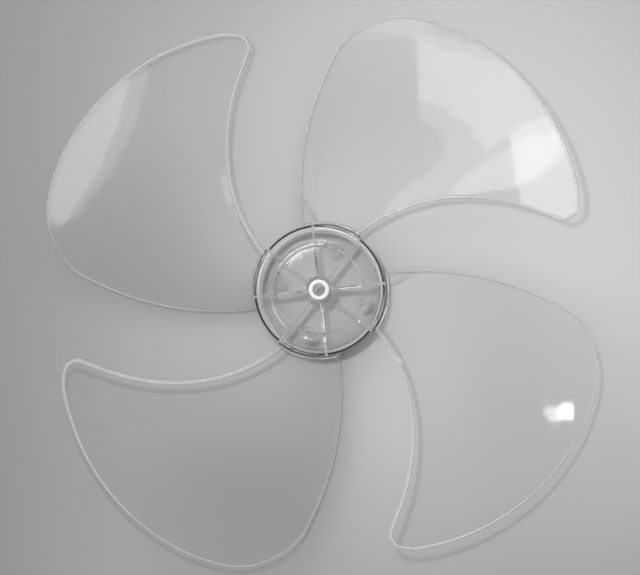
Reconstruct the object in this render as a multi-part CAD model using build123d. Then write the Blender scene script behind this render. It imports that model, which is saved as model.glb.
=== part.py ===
"""Clear moulded axial fan impeller: four swept petal blades on a cupped hub with a ribbed shaft boss.

Frame: +Z is the shaft axis and points to the front, where the air enters. Z = 0 is the plane of the hub's
back rim, on which the impeller rests. Lengths are millimetres and angles are degrees, counted from +X
towards +Y. Seen from the front the impeller turns clockwise, so a blade's leading edge is its clockwise
one. That edge stands to the front and the trailing edge lies to the back.
"""

from build123d import *
from math import cos, hypot, radians, sin
import os

# ---- overall ----
SWEEP_RADIUS = 195.0
BLADE_COUNT = 4

# ---- hub cup ----
HUB_RADIUS = 44.0  # outside, at the back rim
HUB_DRAFT = 1.2  # how much smaller the outside is where the shoulder starts
HUB_FACE_Z = 50.0  # front face
HUB_WALL = 2.8
RIM_ROUND = 0.6
SHOULDER_WIDTH = 13.0  # oval round between side wall and front face, measured along a radius
SHOULDER_HEIGHT = 9.0  # and along the axis
RECESS_RADIUS = 28.4  # the middle of the front face lies a little back
RECESS_DEPTH = 1.0
RECESS_ROUND = 0.9

# ---- shaft boss ----
BORE_RADIUS = 4.05  # running fit on an 8 mm motor shaft
BOSS_BACK_Z = 10.0
BOSS_BACK_RADIUS = 8.2
BOSS_FACE_RADIUS = 9.6  # where it meets the front wall
SPIGOT_RADIUS = 6.6  # the part of the boss that stands in front of the face
SPIGOT_Z = 54.0
BORE_CHAMFER = 0.5
SPIGOT_ROUND = 0.8
PIN_SLOT_WIDTH = 5.0  # takes the cross pin of the shaft
PIN_SLOT_DEPTH = 6.0
PIN_SLOT_ANGLE = 30.0

# ---- ribs and sockets inside the cup ----
RIB_THICKNESS = 1.7
GUSSET_ANGLE = 6.0
GUSSET_BACK_Z = 16.0  # at the boss
GUSSET_KNEE_RADIUS = 27.0
GUSSET_KNEE_Z = 38.0
ROOT_RIB_ANGLE = 52.0
ROOT_RIB_BACK_Z = 32.0
SOCKET_CIRCLE = 29.0  # balance weight sockets
SOCKET_ANGLE = 75.0
SOCKET_RADIUS = 3.8  # at the open end
SOCKET_DRAFT = 0.8  # how much wider the socket is at the front wall
SOCKET_BORE_RADIUS = 1.9
SOCKET_BACK_Z = 36.0

# ---- blade plan: both edges are spirals, angle = root angle - sweep * (radius - hub radius) ----
LEAD_ROOT_ANGLE = 54.2
LEAD_SWEEP = 0.327  # degrees per mm
LEAD_SPIRAL_END = 155.0  # radius where the hooked tip starts
TRAIL_ROOT_ANGLE = 106.2
TRAIL_SWEEP = 0.167
TRAIL_SPIRAL_END = 165.0
HOOK_BOTTOM = (159.0, 44.6)
HOOK_CORNER = (164.8, 48.2)
HOOK_SIDE = (167.4, 58.5)
TIP_START = (181.3, 24.0)  # radius and angle, as in the next three
TIP_MIDDLE = (190.8, 42.0)
TIP_END = (195.0, 62.0)
TRAIL_CORNER = (188.6, 76.5)

# ---- blade height and section ----
LEAD_Z_ROOT = 34.0
LEAD_Z_TIP = 44.0
TRAIL_Z_ROOT = 9.0
TRAIL_Z_TIP = 10.0
CAMBER = 0.30
TIP_RISE = 10.0
BODY_THICKNESS_ROOT = 2.9
BODY_THICKNESS_TIP = 1.8
NOSE_THICKNESS_ROOT = 4.4
NOSE_THICKNESS_TIP = 2.6
NOSE_FALL = 6  # power with which the nose thins out along the chord
EDGE_ROUND = 0.8
ROOT_ROUND = 3.0

# ---- grid of the blade skins, a little larger than the blade ----
CHORD_STEPS = 14
CHORD_MARGIN = 0.12
SPAN_STEPS = 14
SPAN_START = 26.0
SPAN_MARGIN = 12.0


def polar(radius, angle, z=0.0):
    return Vector(radius * cos(radians(angle)), radius * sin(radians(angle)), z)


def mix(a, b, share):
    return a + (b - a) * share


def lead_angle(radius):
    return LEAD_ROOT_ANGLE - LEAD_SWEEP * (radius - HUB_RADIUS)


def trail_angle(radius):
    return TRAIL_ROOT_ANGLE - TRAIL_SWEEP * (radius - HUB_RADIUS)


def span_share(radius):
    return (radius - HUB_RADIUS) / (SWEEP_RADIUS - HUB_RADIUS)


def middle_point(chord, radius):
    """Point of the blade's middle surface: chord runs from 0 at the leading spiral to 1 at the trailing one."""
    span = span_share(radius)
    front = mix(LEAD_Z_ROOT, LEAD_Z_TIP, span)
    back = mix(TRAIL_Z_ROOT, TRAIL_Z_TIP, span)
    fall = chord - CAMBER * chord * (1 - chord)
    z = front - (front - back) * fall + TIP_RISE * span**3
    return polar(radius, mix(lead_angle(radius), trail_angle(radius), chord), z)


def thickness(chord, radius):
    span = span_share(radius)
    body = mix(BODY_THICKNESS_ROOT, BODY_THICKNESS_TIP, span)
    nose = mix(NOSE_THICKNESS_ROOT, NOSE_THICKNESS_TIP, span)
    return body + (nose - body) * max(0.0, 1 - chord) ** NOSE_FALL


def skin_point(chord, radius, side):
    """Point of the front (side 1) or back (side -1) skin, half a thickness off the middle surface."""
    d_chord, d_radius = 0.001, 0.05
    along = middle_point(chord + d_chord, radius) - middle_point(chord - d_chord, radius)
    out = middle_point(chord, radius + d_radius) - middle_point(chord, radius - d_radius)
    normal = out.cross(along).normalized()
    return middle_point(chord, radius) + normal * (side * thickness(chord, radius) / 2)


def blade_skin(side):
    chords = [mix(-CHORD_MARGIN, 1 + CHORD_MARGIN, i / CHORD_STEPS) for i in range(CHORD_STEPS + 1)]
    radii = [mix(SPAN_START, SWEEP_RADIUS + SPAN_MARGIN, j / SPAN_STEPS) for j in range(SPAN_STEPS + 1)]
    grid = [[skin_point(c, r, side) for r in radii] for c in chords]
    return Face.make_surface_from_array_of_points(grid, tol=0.01, min_deg=3, max_deg=5)


def blade_slab():
    """Twisted slab between the two skins, larger than the blade all round."""
    front, back = blade_skin(1), blade_skin(-1)
    walls = []
    for edge in front.edges():
        twin = min(back.edges(), key=lambda other: (other.center() - edge.center()).length)
        walls.append(Face.make_surface_from_curves(edge, twin))
    return Solid(Shell([front, back] + walls))


def blade_outline():
    """Petal outline in plan: two spirals, a hooked leading tip, the tip arc and a round trailing corner."""
    inside = HUB_RADIUS - 9.0
    steps = 6
    lead_radii = [mix(inside, LEAD_SPIRAL_END, i / steps) for i in range(steps + 1)]
    trail_radii = [mix(TRAIL_SPIRAL_END, inside, i / steps) for i in range(steps + 1)]
    lead = Edge.make_spline([polar(r, lead_angle(r)) for r in lead_radii])
    trail = Edge.make_spline([polar(r, trail_angle(r)) for r in trail_radii])
    tip = Edge.make_three_point_arc(polar(*TIP_START), polar(*TIP_MIDDLE), polar(*TIP_END))
    outward = Vector(0, 1, 0)
    hook = Edge.make_spline(
        [lead @ 1, Vector(*HOOK_BOTTOM), Vector(*HOOK_CORNER), Vector(*HOOK_SIDE)],
        tangents=[lead % 1, outward],
    )
    rise = Edge.make_spline([hook @ 1, tip @ 0], tangents=[outward, tip % 0])
    corner = Edge.make_spline([tip @ 1, polar(*TRAIL_CORNER), trail @ 0], tangents=[tip % 1, trail % 0])
    root = Edge.make_line(trail @ 1, lead @ 0)
    return Face(Wire([lead, hook, rise, tip, corner, trail, root]))


def hub_body(inset, back_z):
    """Solid hub silhouette, taken in by inset: a drafted wall, the oval shoulder and the front face."""
    top = HUB_RADIUS - HUB_DRAFT
    shoulder_z = HUB_FACE_Z - SHOULDER_HEIGHT
    centre = top - SHOULDER_WIDTH
    with BuildPart() as body:
        with BuildSketch(Plane.XZ):
            with BuildLine():
                Polyline(
                    (centre, HUB_FACE_Z - inset),
                    (0, HUB_FACE_Z - inset),
                    (0, back_z),
                    (HUB_RADIUS - inset, back_z),
                    (top - inset, shoulder_z),
                )
                EllipticalCenterArc(
                    (centre, shoulder_z), SHOULDER_WIDTH - inset, SHOULDER_HEIGHT - inset, arc_size=90
                )
            make_face()
        revolve(axis=Axis.Z)
    return body.part


def around(shape):
    """The shape and its copies, one for each blade."""
    return [shape.rotate(Axis.Z, 360 / BLADE_COUNT * i) for i in range(BLADE_COUNT)]


def hub_shell():
    """Cup open to the back, with its rim edges rounded."""
    below = -1.0
    shell = hub_body(0, 0) - hub_body(HUB_WALL, below)
    rim = shell.edges().filter_by(GeomType.CIRCLE).group_by(Axis.Z)[0]
    return fillet(rim, RIM_ROUND)


def face_recess():
    """What is taken off the middle of the front face: a shallow disc with a round foot and a round lip."""
    floor = HUB_FACE_Z - RECESS_DEPTH
    foot = RECESS_RADIUS - RECESS_ROUND
    lip = RECESS_RADIUS + RECESS_ROUND
    middle = HUB_FACE_Z - RECESS_DEPTH / 2
    above = HUB_FACE_Z + RECESS_DEPTH
    with BuildPart() as recess:
        with BuildSketch(Plane.XZ):
            with BuildLine():
                Polyline((lip, HUB_FACE_Z), (lip, above), (0, above), (0, floor), (foot, floor))
                Spline((foot, floor), (RECESS_RADIUS, middle), (lip, HUB_FACE_Z), tangents=[(1, 0), (1, 0)])
            make_face()
        revolve(axis=Axis.Z)
    return recess.part


def boss():
    """Tapered shaft boss from the cup's depth to the front face, with its spigot in front."""
    length = HUB_FACE_Z - HUB_WALL / 2 - BOSS_BACK_Z
    taper = Cone(BOSS_BACK_RADIUS, BOSS_FACE_RADIUS, length, align=(Align.CENTER, Align.CENTER, Align.MIN))
    spigot = Cylinder(SPIGOT_RADIUS, SPIGOT_Z - BOSS_BACK_Z, align=(Align.CENTER, Align.CENTER, Align.MIN))
    spigot = fillet(spigot.edges().filter_by(GeomType.CIRCLE).sort_by(Axis.Z)[-1], SPIGOT_ROUND)
    return Pos(0, 0, BOSS_BACK_Z) * (taper + spigot)


def bore():
    """Shaft hole with a chamfer at each end, and the slot for the shaft's cross pin at the back."""
    wide = BORE_RADIUS + 2 * BORE_CHAMFER
    top = SPIGOT_Z + BORE_CHAMFER
    bottom = BOSS_BACK_Z - BORE_CHAMFER
    with BuildPart() as hole:
        with BuildSketch(Plane.XZ):
            with BuildLine():
                Polyline(
                    (0, bottom),
                    (wide, bottom),
                    (BORE_RADIUS, bottom + 2 * BORE_CHAMFER),
                    (BORE_RADIUS, top - 2 * BORE_CHAMFER),
                    (wide, top),
                    (0, top),
                    (0, bottom),
                )
            make_face()
        revolve(axis=Axis.Z)
    slot = Box(4 * BOSS_BACK_RADIUS, PIN_SLOT_WIDTH, 2 * PIN_SLOT_DEPTH)
    return hole.part + Pos(0, 0, BOSS_BACK_Z) * Rot(0, 0, PIN_SLOT_ANGLE) * slot


def radial_web(angle, profile):
    """Plate of rib thickness standing on a radius; profile gives its outline as radius and height."""
    with BuildPart() as web:
        with BuildSketch(Plane.XZ):
            with BuildLine():
                Polyline(*profile, profile[0])
            make_face()
        extrude(amount=RIB_THICKNESS / 2, both=True)
    return web.part.rotate(Axis.Z, angle)


def gusset():
    """Main rib: deep at the boss, falling to a shallow web that runs on to the side wall."""
    top = HUB_FACE_Z - HUB_WALL / 2
    wall = HUB_RADIUS - HUB_DRAFT - HUB_WALL / 2
    profile = [
        (SPIGOT_RADIUS, top),
        (SPIGOT_RADIUS, GUSSET_BACK_Z),
        (BOSS_BACK_RADIUS, GUSSET_BACK_Z),
        (GUSSET_KNEE_RADIUS, GUSSET_KNEE_Z),
        (wall, GUSSET_KNEE_Z),
        (wall, top),
    ]
    return radial_web(GUSSET_ANGLE, profile)


def root_rib():
    """Rib of even depth from the boss to the wall behind a blade's leading root."""
    top = HUB_FACE_Z - HUB_WALL / 2
    wall = HUB_RADIUS - HUB_DRAFT - HUB_WALL / 2
    profile = [(SPIGOT_RADIUS, top), (SPIGOT_RADIUS, ROOT_RIB_BACK_Z), (wall, ROOT_RIB_BACK_Z), (wall, top)]
    return radial_web(ROOT_RIB_ANGLE, profile)


def socket():
    """Short tube under the front wall that holds a balance weight."""
    length = HUB_FACE_Z - HUB_WALL / 2 - SOCKET_BACK_Z
    wide = SOCKET_RADIUS + SOCKET_DRAFT
    tube = Cone(SOCKET_RADIUS, wide, length, align=(Align.CENTER, Align.CENTER, Align.MIN))
    hole = Cylinder(
        SOCKET_BORE_RADIUS, length - HUB_WALL / 2, align=(Align.CENTER, Align.CENTER, Align.MIN)
    )
    place = polar(SOCKET_CIRCLE, SOCKET_ANGLE, SOCKET_BACK_Z)
    return Pos(place.X, place.Y, place.Z) * (tube - hole)


def hub():
    """The moulded centre: cup, boss, ribs and sockets, with everything outside the cup cut off."""
    inside = Part() + around(gusset()) + around(root_rib()) + around(socket())
    inside = inside & hub_body(HUB_WALL / 2, 0)
    return hub_shell() - face_recess() + inside + boss() - bore()


def blade():
    """One blade with its edges rounded, cut off inside the thickness of the hub's wall."""
    depth = 90.0
    petal = Pos(0, 0, -depth / 4) * extrude(blade_outline(), depth)
    solid = blade_slab().intersect(petal)[0]
    skins = solid.faces().sort_by(SortBy.AREA)[-2:]
    rims = [e for skin in skins for e in skin.edges() if hypot((e @ 0.5).X, (e @ 0.5).Y) > HUB_RADIUS]
    return solid.fillet(EDGE_ROUND, rims) - hub_body(HUB_WALL / 2, -1.0)


def lies_on_hub(edge):
    """True for an edge where a blade meets the hub's side wall."""
    if edge.geom_type in (GeomType.CIRCLE, GeomType.LINE):
        return False
    tolerance = 0.15
    shoulder_z = HUB_FACE_Z - SHOULDER_HEIGHT
    for share in (0.1, 0.5, 0.9):
        point = edge @ share
        wall = HUB_RADIUS - HUB_DRAFT * point.Z / shoulder_z
        if abs(hypot(point.X, point.Y) - wall) > tolerance or point.Z > shoulder_z:
            return False
    return True


def impeller():
    whole = hub() + around(blade())
    roots = [edge for edge in whole.edges() if lies_on_hub(edge)]
    return whole.solids()[0].fillet(ROOT_ROUND, roots)


os.makedirs("parts", exist_ok=True)
part = impeller()
export_step(part, "parts/impeller.step")
print("impeller", part.is_valid, round(part.volume), "cubic mm", part.bounding_box())
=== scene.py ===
"""Dresses the moulded fan impeller in clear plastic and sets it on a pale floor under studio light."""

from math import cos, radians, sin

import bpy
import numpy as np
from mathutils import Matrix, Vector


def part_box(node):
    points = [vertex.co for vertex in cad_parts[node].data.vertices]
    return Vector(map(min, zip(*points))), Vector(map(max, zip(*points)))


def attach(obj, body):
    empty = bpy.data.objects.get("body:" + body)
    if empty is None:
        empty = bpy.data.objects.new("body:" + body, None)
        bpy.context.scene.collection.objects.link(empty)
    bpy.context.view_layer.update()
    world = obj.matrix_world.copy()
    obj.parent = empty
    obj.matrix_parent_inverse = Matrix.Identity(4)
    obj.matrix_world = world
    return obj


bl_info = {
    "name": "Clear Fan Impeller",
    "version": (1, 0, 0),
    "blender": (4, 5, 0),
    "location": "View3D > Sidebar > Impeller",
    "description": "Finishes the moulded fan impeller in clear plastic and sets up its studio",
    "category": "Add Mesh",
}

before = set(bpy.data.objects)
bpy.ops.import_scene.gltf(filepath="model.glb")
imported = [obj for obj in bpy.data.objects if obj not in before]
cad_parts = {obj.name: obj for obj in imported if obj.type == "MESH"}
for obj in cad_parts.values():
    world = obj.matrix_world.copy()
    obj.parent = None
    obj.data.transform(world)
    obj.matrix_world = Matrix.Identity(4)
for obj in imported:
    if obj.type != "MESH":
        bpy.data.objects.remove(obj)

MM = 0.001
WHITE = (1.0, 1.0, 1.0, 1.0)

# hub
SPIGOT_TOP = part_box("impeller")[1].z
SPIGOT_EDGE = 6.9 * MM  # the frosted face ends here
FROST_DEPTH = 1.0 * MM
HUB_BACK = 44 * MM
HUB_WALL = 43 * MM  # beads start inside the hub's side wall

# one blade, as the solid has it: radii and marks in mm, angles in degrees, slopes in degrees per mm
BLADE_COUNT = 4
SWEEP_RADIUS = 195 * MM
SPAN = SWEEP_RADIUS - HUB_BACK
LEAD_ANGLE = 54.2
LEAD_SWEEP = 0.327
LEAD_SPIRAL_END = 155.0
TRAIL_ANGLE = 106.2
TRAIL_SWEEP = 0.167
TRAIL_SPIRAL_END = 165.0
HOOK_MARKS = ((159.0, 44.6), (164.8, 48.2), (167.4, 58.5))
TIP_MARKS = ((181.3, 24.0), (190.8, 42.0), (195.0, 62.0))  # radius and angle
TRAIL_CORNER = (188.6, 76.5)
LEAD_HEIGHT = 34 * MM
LEAD_RISE = 10 * MM
TRAIL_HEIGHT = 9 * MM
TRAIL_RISE = 1 * MM
TIP_RISE = 10 * MM
CAMBER = 0.30
SPIRAL_MARKS = 14
ARC_MARKS = 9

# bead round a blade's edge, at shares of the way from the leading root round the tip to the trailing root
BEAD_SHARE = (0.0, 0.36, 0.45, 0.52, 0.75, 1.0)
BEAD_WIDTH = (2.4, 2.2, 1.6, 1.2, 1.2, 1.4)
BEAD_DEPTH = (4.8, 3.2, 2.5, 2.1, 2.4, 3.2)
BEAD_INSET = 0.4 * MM
BEAD_STEPS = 620
BEAD_SIDES = 18

# clear plastic; scales are features per metre
PLASTIC_IOR = 1.57
WAVE_SCALE = 14.0
RIPPLE_SCALE = 60.0
RIPPLE_STRENGTH = 0.6
WAVE_TO_RIPPLE = 12  # how much higher the slow waves are than the ripples
SCUFF_SCALE = 120.0
SCUFF_ONSET = (0.45, 0.75)  # noise levels between which a scuff grows
SCUFF_ROUGHNESS = 0.03
FROST_ROUGHNESS = 0.45
FROST_TONE = (0.95, 0.95, 0.95, 1.0)
FROST_CLEARNESS = 0.1
FROST_BLEND = 0.3 * MM
EDGE_ONSET = (0.25, 0.7)  # facing, from 0 head on to 1 edge on, between which a skin goes dark to lamps
EDGE_PASS = 0.15  # share of a lamp's light that a skin passes edge on

# floor; distances in metres, and brightness at the near and the far end of each ramp. The pool is a
# painted pool of light, and the dim side is painted shade
# painted pool of light on the floor: its centre, its reach and its brightness
PAINTED_POOL_CENTRE = (0.12, 0.05, 0.0)
PAINTED_POOL_REACH = (0.04, 0.32)
PAINTED_POOL_TONES = (1.13, 0.62)
OUTER_REACH = (0.45, 1.0)
OUTER_TONES = (0.0, 0.3)
# painted shade that dims the floor towards -X
PAINTED_SHADE_REACH = (-0.26, -0.12)
PAINTED_SHADE_TONES = (0.78, 1.0)
CLOUD_SCALE = 3.0
CLOUD_ONSET = (0.3, 0.7)
CLOUD_TONES = (0.97, 1.03)
FLOOR_ROUGHNESS = 0.9

# sky; up is 0 at the horizon and 1 straight above, and aside is -1 to 1 along the brighter side
LIGHT_SIDE = (-0.64, 0.77, 0.0)
LOW_REACH = (0.05, 0.5)
LOW_TONES = (1.6, 1.0)
TOP_REACH = (0.5, 0.95)
SIDE_REACH = (-0.9, 0.9)
SIDE_TONES = (0.35, 1.65)
BACKDROP_GLOW = 1.1

# lamps: a place in x and y, a width and a depth, and a turn in degrees
WINDOW = ((-0.26, 0.595), (0.34, 0.22), -8.0)
WINDOW_FAR = ((-0.53, 0.455), (0.22, 0.08), 25.0)
WINDOW_END = ((0.02, 0.53), (0.24, 0.17), 0.0)
FAR_SHARE = 0.55  # brightness of the window's two ends against its middle
END_SHARE = 2.25
HUB_LAMP = ((-0.118, 0.197), (0.13, 0.20), 25.0)
PATCH_LAMP = ((-0.49, -0.25), (0.25, 0.36), 0.0)
SPARK_LAMP = ((0.466, 0.362), (0.06, 0.04), 0.0)
KEY_LAMP = ((-0.035, 0.053), (0.03, 0.03), 0.0)
KEY_HEIGHT = 0.64

# camera; angles in degrees
CAMERA_AIM = (0.0, 2.0 * MM, 30 * MM)
CAMERA_TILT = 2.0
CAMERA_BEARING = -40.0
SENSOR_WIDTH = 36.0


# ---------------------------------------------------------------- node helpers


class Nodes:
    """Short ways to add nodes to one node tree. Sockets are linked, and numbers become defaults."""

    def __init__(self, tree):
        self.tree = tree
        tree.nodes.clear()

    def add(self, kind, inputs=None, **settings):
        node = self.tree.nodes.new(kind)
        for name, value in settings.items():
            setattr(node, name, value)
        for name, value in (inputs or {}).items():
            self.feed(node.inputs[name], value)
        return node

    def feed(self, socket, value):
        if isinstance(value, bpy.types.NodeSocket):
            self.tree.links.new(value, socket)
        else:
            socket.default_value = value

    def maths(self, operation, *values):
        node = self.add("ShaderNodeMath", operation=operation)
        for socket, value in zip(node.inputs, values):
            self.feed(socket, value)
        return node.outputs[0]

    def step(self, value, start, end, low=0.0, high=1.0):
        """Smooth ramp: low before start, high after end."""
        node = self.add(
            "ShaderNodeMapRange",
            {"Value": value, "From Min": start, "From Max": end, "To Min": low, "To Max": high},
            interpolation_type="SMOOTHSTEP",
        )
        return node.outputs["Result"]

    def noise(self, vector, scale, detail=2.0, roughness=0.5):
        node = self.add(
            "ShaderNodeTexNoise",
            {"Vector": vector, "Scale": scale, "Detail": detail, "Roughness": roughness},
        )
        return node.outputs["Fac"]


def new_material(name):
    material = bpy.data.materials.new(name)
    material.use_nodes = True
    return material, Nodes(material.node_tree)


# ---------------------------------------------------------------- sizes and colours


class FinishSettings(bpy.types.PropertyGroup):
    tint: bpy.props.FloatVectorProperty(
        name="Tint",
        description="Colour of light that has gone through much plastic",
        subtype="COLOR",
        size=3,
        min=0,
        max=1,
        default=(0.33, 0.34, 0.34),
    )
    smoke: bpy.props.FloatProperty(
        name="Smoke",
        description="How strongly the plastic takes up light, per metre",
        min=0,
        default=7.0,
    )
    gloss_roughness: bpy.props.FloatProperty(
        name="Roughness",
        description="Roughness of the polished skin",
        min=0,
        max=1,
        default=0.03,
    )
    waviness: bpy.props.FloatProperty(
        name="Waviness",
        description="Height of the ripples left by moulding",
        subtype="DISTANCE",
        unit="LENGTH",
        min=0,
        default=0.02 * MM,
    )
    shadow_pass: bpy.props.FloatProperty(
        name="Light Passed",
        description="Share of a lamp's light that one skin passes head on",
        subtype="FACTOR",
        min=0,
        max=1,
        default=0.975,
    )


class StageSettings(bpy.types.PropertyGroup):
    floor_colour: bpy.props.FloatVectorProperty(
        name="Floor Colour",
        description="Colour of the floor",
        subtype="COLOR",
        size=3,
        min=0,
        max=1,
        default=(0.69, 0.69, 0.69),
    )
    floor_size: bpy.props.FloatProperty(
        name="Floor Size",
        description="Side of the square floor",
        subtype="DISTANCE",
        unit="LENGTH",
        default=8.0,
    )
    sky_strength: bpy.props.FloatProperty(
        name="Sky",
        description="Strength of the light from all round",
        min=0,
        default=0.75,
    )
    sky_top: bpy.props.FloatProperty(
        name="Sky Top",
        description="Share of the sky's strength that is left straight above",
        min=0,
        default=0.5,
    )
    window_glow: bpy.props.FloatProperty(
        name="Window",
        description="Brightness of the window lamp",
        min=0,
        default=1.5,
    )
    patch_glow: bpy.props.FloatProperty(
        name="Patch",
        description="Brightness of the broad oval lamp",
        min=0,
        default=1.9,
    )
    hub_glow: bpy.props.FloatProperty(
        name="Hub",
        description="Brightness of the lamp that the hub reflects",
        min=0,
        default=11.0,
    )
    key_glow: bpy.props.FloatProperty(
        name="Key",
        description="Brightness of the lamp that casts the shadows",
        min=0,
        default=430.0,
    )
    spark_glow: bpy.props.FloatProperty(
        name="Spark",
        description="Brightness of the small oval lamp",
        min=0,
        default=12.0,
    )
    lamp_height: bpy.props.FloatProperty(
        name="Lamp Height",
        description="Height over the floor of every lamp but the one that casts the shadows",
        subtype="DISTANCE",
        unit="LENGTH",
        default=1.6,
    )
    camera_distance: bpy.props.FloatProperty(
        name="Camera Distance",
        description="From the camera to the hub",
        subtype="DISTANCE",
        unit="LENGTH",
        default=0.77,
    )
    focal_length: bpy.props.FloatProperty(
        name="Focal Length",
        description="Lens of the camera",
        subtype="DISTANCE_CAMERA",
        unit="CAMERA",
        default=65.5,
    )


# ---------------------------------------------------------------- clear plastic


def clear_plastic(finish):
    """Polished clear plastic. It bends light and is wavy, as mouldings are, and it passes lamp light
    straight on with a pale shadow that is darker where a skin is edge on. The spigot's face is frosted."""
    material, n = new_material("clear_plastic")
    place = n.add("ShaderNodeTexCoord").outputs["Object"]
    split = n.add("ShaderNodeSeparateXYZ", {"Vector": place})
    x, y, z = (split.outputs[i] for i in range(3))
    radius = n.maths("SQRT", n.maths("ADD", n.maths("MULTIPLY", x, x), n.maths("MULTIPLY", y, y)))

    waves = n.noise(place, WAVE_SCALE, 1.0)
    ripple = n.noise(place, RIPPLE_SCALE, 2.0)
    scuffs = n.noise(place, SCUFF_SCALE, 3.0, 0.6)
    wave_height = finish.waviness * WAVE_TO_RIPPLE
    slow = n.add("ShaderNodeBump", {"Strength": 1.0, "Distance": wave_height, "Height": waves}).outputs[0]
    skin = n.add(
        "ShaderNodeBump",
        {"Strength": RIPPLE_STRENGTH, "Distance": finish.waviness, "Height": ripple, "Normal": slow},
    ).outputs[0]

    near_axis = n.step(radius, SPIGOT_EDGE + FROST_BLEND, SPIGOT_EDGE)
    near_top = n.step(z, SPIGOT_TOP - FROST_DEPTH, SPIGOT_TOP - FROST_DEPTH + 2 * FROST_BLEND)
    frost = n.maths("MULTIPLY", near_axis, near_top)
    scuffed = finish.gloss_roughness + SCUFF_ROUGHNESS
    skin_rough = n.step(scuffs, *SCUFF_ONSET, finish.gloss_roughness, scuffed)
    rough = n.add("ShaderNodeMix", {0: frost, 2: skin_rough, 3: FROST_ROUGHNESS}).outputs[0]
    clear = n.step(frost, 0.0, 1.0, 1.0, FROST_CLEARNESS)
    tone = n.add("ShaderNodeMix", {0: frost, 6: WHITE, 7: FROST_TONE}, data_type="RGBA").outputs[2]

    plastic = n.add(
        "ShaderNodeBsdfPrincipled",
        {
            "Base Color": tone,
            "Roughness": rough,
            "IOR": PLASTIC_IOR,
            "Transmission Weight": clear,
            "Normal": skin,
        },
    )
    facing = n.add("ShaderNodeLayerWeight", {"Blend": 0.5}).outputs["Facing"]
    passed = n.step(facing, *EDGE_ONSET, finish.shadow_pass, EDGE_PASS)
    shade = n.add("ShaderNodeCombineColor", {0: passed, 1: passed, 2: passed}).outputs[0]
    gap = n.add("ShaderNodeBsdfTransparent", {"Color": shade})
    path = n.add("ShaderNodeLightPath").outputs
    skin_shader = plastic.outputs[0]
    for ray in ("Is Shadow Ray", "Is Diffuse Ray"):
        mix = n.add("ShaderNodeMixShader", {0: path[ray], 1: skin_shader, 2: gap.outputs[0]})
        skin_shader = mix.outputs[0]
    smoke = n.add("ShaderNodeVolumeAbsorption", {"Color": (*finish.tint, 1.0), "Density": finish.smoke})
    n.add("ShaderNodeOutputMaterial", {"Surface": skin_shader, "Volume": smoke.outputs[0]})
    return material


def polar(radius, angle):
    """Points in plan from radii in mm and angles in degrees."""
    return np.stack([radius * np.cos(np.radians(angle)), radius * np.sin(np.radians(angle))], axis=-1)


def through(marks, steps):
    """Smooth line through marks. Its slope at each mark comes from the marks either side, and between two
    marks it is the cubic that has both their places and slopes."""
    reach = np.concatenate([[0.0], np.cumsum(np.linalg.norm(np.diff(marks, axis=0), axis=1))])
    slope = np.gradient(marks, reach, axis=0)
    s = np.linspace(0, reach[-1], steps)
    i = np.clip(np.searchsorted(reach, s) - 1, 0, len(reach) - 2)
    gap = (reach[i + 1] - reach[i])[:, None]
    t = (s - reach[i])[:, None] / gap
    ease = t * t * (3 - 2 * t)
    place = marks[i] * (1 - ease) + marks[i + 1] * ease
    return place + gap * t * (1 - t) * (slope[i] * (1 - t) - slope[i + 1] * t)


def arc(start, middle, end, share):
    """Points on the circle through three points, at shares of the angle from start to end."""
    rows = np.array([middle - start, end - start])
    centre = np.linalg.solve(2 * rows, [middle @ middle - start @ start, end @ end - start @ start])
    first = np.arctan2(*(start - centre)[::-1])
    last = np.arctan2(*(end - centre)[::-1])
    turn = first + (last - first) * share
    return centre + np.linalg.norm(start - centre) * np.stack([np.cos(turn), np.sin(turn)], axis=1)


def blade_edge(steps):
    """Edge of one blade in plan, in mm: a spiral out along the leading edge, whose angle falls evenly with
    the radius, the hook, the tip's circle, the round corner and the trailing spiral back to the hub."""
    wall, back = HUB_WALL / MM, HUB_BACK / MM
    lead = np.linspace(wall, LEAD_SPIRAL_END, SPIRAL_MARKS)
    trail = np.linspace(TRAIL_SPIRAL_END, wall, SPIRAL_MARKS)
    tip = polar(*np.array(TIP_MARKS).T)
    marks = np.concatenate([
        polar(lead, LEAD_ANGLE - LEAD_SWEEP * (lead - back)),
        HOOK_MARKS,
        arc(*tip, np.linspace(0, 1, ARC_MARKS)),
        polar(*np.array([TRAIL_CORNER]).T),
        polar(trail, TRAIL_ANGLE - TRAIL_SWEEP * (trail - back)),
    ])
    return through(marks, steps)


def blade_height(plan):
    """Height of the blade's middle surface: it falls from the leading to the trailing edge along a shallow
    arch, and rises evenly with the radius and, near the tip, with the cube of the way out."""
    radius = np.linalg.norm(plan, axis=1)
    angle = np.degrees(np.arctan2(plan[:, 1], plan[:, 0]))
    lead = LEAD_ANGLE - LEAD_SWEEP * (radius - HUB_BACK) / MM
    trail = TRAIL_ANGLE - TRAIL_SWEEP * (radius - HUB_BACK) / MM
    chord = (angle - lead) / (trail - lead)
    share = (radius - HUB_BACK) / SPAN
    front = LEAD_HEIGHT + LEAD_RISE * share
    back = TRAIL_HEIGHT + TRAIL_RISE * share
    fall = chord - CAMBER * chord * (1 - chord)
    return front - (front - back) * fall + TIP_RISE * share**3


def tube(path, half_width, half_depth, sides):
    """Closed oval bar along a path: at each point, centre + across * half_width * cos(t) + normal *
    half_depth * sin(t) for t round a whole turn, where across is level and normal is square to it and to
    the path."""
    along = np.gradient(path, axis=0)
    along /= np.linalg.norm(along, axis=1, keepdims=True)
    across = np.cross((0.0, 0.0, 1.0), along)
    across /= np.linalg.norm(across, axis=1, keepdims=True)
    normal = np.cross(along, across)
    turn = np.linspace(0, 2 * np.pi, sides, endpoint=False)
    wide = half_width[:, None, None] * np.cos(turn)[None, :, None] * across[:, None, :]
    deep = half_depth[:, None, None] * np.sin(turn)[None, :, None] * normal[:, None, :]
    return path[:, None, :] + wide + deep


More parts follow.
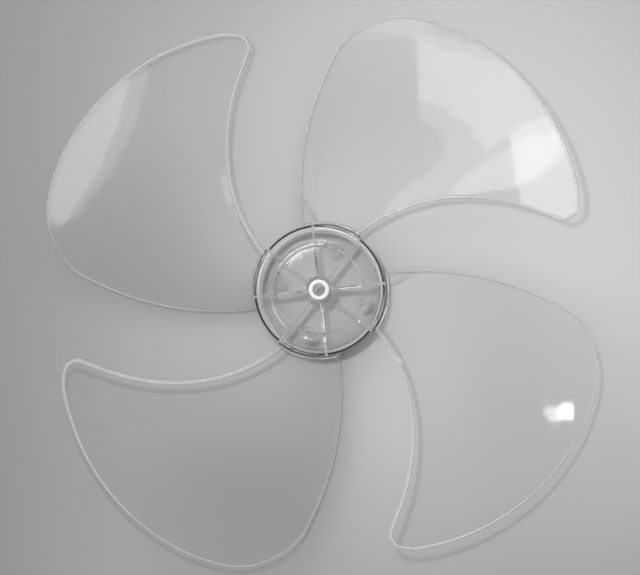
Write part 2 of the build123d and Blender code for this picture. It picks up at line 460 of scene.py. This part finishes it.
def tube_faces(rows, sides):
    """Quads between neighbouring rows of points that close round their sides, and a cap for each end."""
    row, side = np.meshgrid(np.arange(rows - 1), np.arange(sides), indexing="ij")
    near = row * sides
    far = near + sides
    after = (side + 1) % sides
    quads = np.stack([near + side, near + after, far + after, far + side], axis=-1).reshape(-1, 4)
    ring = np.arange(sides)
    caps = np.stack([ring[::-1], ring + (rows - 1) * sides])
    return quads, caps


def turned(points, angle):
    """Points turned about the shaft axis."""
    c, s = cos(angle), sin(angle)
    return points @ np.array([[c, s, 0.0], [-s, c, 0.0], [0.0, 0.0, 1.0]])


def edge_bead():
    """Points of one blade's bead: an oval bar whose middle line lies in the blade's middle surface, half
    the bar's width and a small inset inside the blade's edge."""
    share = np.linspace(0, 1, BEAD_STEPS)
    half_width = np.interp(share, BEAD_SHARE, BEAD_WIDTH) * MM / 2
    half_depth = np.interp(share, BEAD_SHARE, BEAD_DEPTH) * MM / 2
    edge = blade_edge(BEAD_STEPS) * MM
    along = np.gradient(edge, axis=0)
    along /= np.linalg.norm(along, axis=1, keepdims=True)
    inward = np.stack([-along[:, 1], along[:, 0]], axis=1)
    plan = edge + inward * (half_width + BEAD_INSET)[:, None]
    path = np.column_stack([plan, blade_height(plan)])
    return tube(path, half_width, half_depth, BEAD_SIDES).reshape(-1, 3)


class IMPELLER_OT_beads(bpy.types.Operator):
    """Adds the rounded bead that runs round each blade's edge"""

    bl_idname = "impeller.beads"
    bl_label = "Add Edge Beads"

    def execute(self, context):
        bead = edge_bead()
        quads, caps = tube_faces(BEAD_STEPS, BEAD_SIDES)
        turns = range(BLADE_COUNT)
        points = np.concatenate([turned(bead, turn * 2 * np.pi / BLADE_COUNT) for turn in turns])
        all_quads = np.concatenate([quads + turn * len(bead) for turn in turns])
        all_caps = np.concatenate([caps + turn * len(bead) for turn in turns])
        mesh = bpy.data.meshes.new("edge_beads")
        mesh.from_pydata(points.tolist(), [], all_quads.tolist() + all_caps.tolist())
        mesh.shade_smooth()
        mesh.materials.append(bpy.data.materials["clear_plastic"])
        beads = bpy.data.objects.new("edge_beads", mesh)
        context.scene.collection.objects.link(beads)
        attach(beads, "root")
        return {"FINISHED"}


class IMPELLER_OT_moulding(bpy.types.Operator):
    """Gives the one-piece moulding its clear plastic"""

    bl_idname = "impeller.moulding"
    bl_label = "Finish Moulding"

    def execute(self, context):
        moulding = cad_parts["impeller"]
        moulding.data.materials.clear()
        moulding.data.materials.append(clear_plastic(context.scene.impeller_finish))
        return {"FINISHED"}


# ---------------------------------------------------------------- floor, light and camera


def floor_mesh(size):
    """Flat square at the height of the hub's back rim: x and y run from -size/2 to size/2."""
    half = size / 2
    points = [(-half, -half, 0.0), (-half, half, 0.0), (half, -half, 0.0), (half, half, 0.0)]
    mesh = bpy.data.meshes.new("floor")
    mesh.from_pydata(points, [], [(0, 2, 3, 1)])
    mesh.update()
    return mesh


def floor_material(colour):
    """Matt board: a painted pool of light, palest round its centre, painted shade that makes it dimmer to
    one side, and a little uneven.
    """
    material, n = new_material("floor_board")
    place = n.add("ShaderNodeTexCoord").outputs["Object"]
    # distance from the centre of the painted pool of light
    from_painted_pool = n.add("ShaderNodeVectorMath", {0: place, 1: PAINTED_POOL_CENTRE}, operation="DISTANCE")
    away = from_painted_pool.outputs["Value"]
    cloud = n.step(n.noise(place, CLOUD_SCALE, 1.0), *CLOUD_ONSET, *CLOUD_TONES)
    across = n.add("ShaderNodeSeparateXYZ", {0: place}).outputs[0]
    # painted shade on the -X side, times the painted pool of light
    painted_shade_side = n.step(across, *PAINTED_SHADE_REACH, *PAINTED_SHADE_TONES)
    painted_pool = n.maths("MULTIPLY", painted_shade_side, n.step(away, *PAINTED_POOL_REACH, *PAINTED_POOL_TONES))
    lifted = n.maths("ADD", painted_pool, n.step(away, *OUTER_REACH, *OUTER_TONES))
    shade = n.maths("MULTIPLY", cloud, lifted)
    grey = n.add("ShaderNodeCombineColor", {0: shade, 1: shade, 2: shade}).outputs[0]
    paint = {0: 1.0, 6: (*colour, 1.0), 7: grey}
    tone = n.add("ShaderNodeMix", paint, data_type="RGBA", blend_type="MULTIPLY").outputs[2]
    board = n.add("ShaderNodeBsdfPrincipled", {"Base Color": tone, "Roughness": FLOOR_ROUGHNESS})
    n.add("ShaderNodeOutputMaterial", {"Surface": board.outputs[0]})
    return material


def sky(stage):
    """Light from all round, strongest low down and to one side. The camera sees the floor's colour."""
    world = bpy.data.worlds.new("studio")
    world.use_nodes = True
    n = Nodes(world.node_tree)
    way = n.add("ShaderNodeTexCoord").outputs["Generated"]
    up = n.add("ShaderNodeSeparateXYZ", {0: way}).outputs[2]
    to_side = n.add("ShaderNodeVectorMath", {0: way, 1: LIGHT_SIDE}, operation="DOT_PRODUCT")
    aside = to_side.outputs["Value"]
    low = n.step(up, *LOW_REACH, *LOW_TONES)
    top = n.step(up, *TOP_REACH, 1.0, stage.sky_top)
    side = n.step(aside, *SIDE_REACH, *(tone * stage.sky_strength for tone in SIDE_TONES))
    glow = n.maths("MULTIPLY", n.maths("MULTIPLY", low, top), side)
    light = n.add("ShaderNodeBackground", {"Color": WHITE, "Strength": glow})
    seen = n.add("ShaderNodeBackground", {"Color": (*stage.floor_colour, 1.0), "Strength": BACKDROP_GLOW})
    for_camera = n.add("ShaderNodeLightPath").outputs["Is Camera Ray"]
    both = n.add("ShaderNodeMixShader", {0: for_camera, 1: light.outputs[0], 2: seen.outputs[0]})
    n.add("ShaderNodeOutputWorld", {"Surface": both.outputs[0]})
    return world


def lamp(name, spot, glow, height, shape="RECTANGLE"):
    """Flat lamp facing down. Spot is its place in x and y, its width and depth, and its turn in degrees.
    Its power is glow times pi times its area, so glow is its brightness whatever its size."""
    place, size, turn = spot
    data = bpy.data.lights.new(name, "AREA")
    data.shape = shape
    data.size, data.size_y = size
    face = size[0] * size[1] * (np.pi / 4 if shape == "ELLIPSE" else 1)
    data.energy = glow * np.pi * face
    ob = bpy.data.objects.new(name, data)
    ob.location = (*place, height)
    ob.rotation_euler.z = radians(turn)
    bpy.context.scene.collection.objects.link(ob)
    return ob


def add_camera(stage):
    """Camera over the hub, leaning a little, with the image's top towards +Y."""
    tilt, bearing = radians(CAMERA_TILT), radians(CAMERA_BEARING)
    back = Vector((sin(tilt) * cos(bearing), sin(tilt) * sin(bearing), cos(tilt)))
    right = Vector((0, 1, 0)).cross(back).normalized()
    up = back.cross(right)
    data = bpy.data.cameras.new("camera")
    data.lens = stage.focal_length
    data.sensor_width = SENSOR_WIDTH
    ob = bpy.data.objects.new("camera", data)
    ob.location = Vector(CAMERA_AIM) + back * stage.camera_distance
    ob.rotation_euler = Matrix((right, up, back)).transposed().to_euler()
    bpy.context.scene.collection.objects.link(ob)
    bpy.context.scene.camera = ob


class IMPELLER_OT_stage(bpy.types.Operator):
    """Adds the pale floor, the soft light and the camera"""

    bl_idname = "impeller.stage"
    bl_label = "Set Stage"

    def execute(self, context):
        scene = context.scene
        stage = scene.impeller_stage
        floor = bpy.data.objects.new("floor", floor_mesh(stage.floor_size))
        floor.data.materials.append(floor_material(stage.floor_colour))
        scene.collection.objects.link(floor)
        scene.world = sky(stage)
        high = stage.lamp_height
        lamp("window_far_lamp", WINDOW_FAR, stage.window_glow * FAR_SHARE, high)
        lamp("window_lamp", WINDOW, stage.window_glow, high)
        lamp("window_end_lamp", WINDOW_END, stage.window_glow * END_SHARE, high)
        hub = lamp("hub_lamp", HUB_LAMP, stage.hub_glow, high)
        hub.visible_diffuse = False
        lamp("patch_lamp", PATCH_LAMP, stage.patch_glow, high, "ELLIPSE")
        lamp("spark_lamp", SPARK_LAMP, stage.spark_glow, high, "ELLIPSE")
        key = lamp("key_lamp", KEY_LAMP, stage.key_glow, KEY_HEIGHT)
        key.visible_camera = False
        key.visible_glossy = False
        key.visible_transmission = False
        add_camera(stage)
        scene.view_settings.view_transform = "Standard"
        return {"FINISHED"}


class IMPELLER_PT_panel(bpy.types.Panel):
    """Lists the impeller's pieces and its studio"""

    bl_label = "Impeller"
    bl_idname = "IMPELLER_PT_panel"
    bl_space_type = "VIEW_3D"
    bl_region_type = "UI"
    bl_category = "Impeller"

    def draw(self, context):
        for settings in (context.scene.impeller_finish, context.scene.impeller_stage):
            box = self.layout.box()
            for name in settings.__annotations__:
                box.prop(settings, name)
        for operator in PIECES:
            self.layout.operator(operator.bl_idname)


PIECES = (IMPELLER_OT_moulding, IMPELLER_OT_beads, IMPELLER_OT_stage)
CLASSES = (FinishSettings, StageSettings, *PIECES, IMPELLER_PT_panel)


def register():
    for each in CLASSES:
        bpy.utils.register_class(each)
    bpy.types.Scene.impeller_finish = bpy.props.PointerProperty(type=FinishSettings)
    bpy.types.Scene.impeller_stage = bpy.props.PointerProperty(type=StageSettings)


def unregister():
    del bpy.types.Scene.impeller_stage
    del bpy.types.Scene.impeller_finish
    for each in reversed(CLASSES):
        bpy.utils.unregister_class(each)


def main():
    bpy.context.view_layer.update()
    register()
    bpy.ops.impeller.moulding()
    bpy.ops.impeller.beads()
    bpy.ops.impeller.stage()


if __name__ == "__main__":
    main()
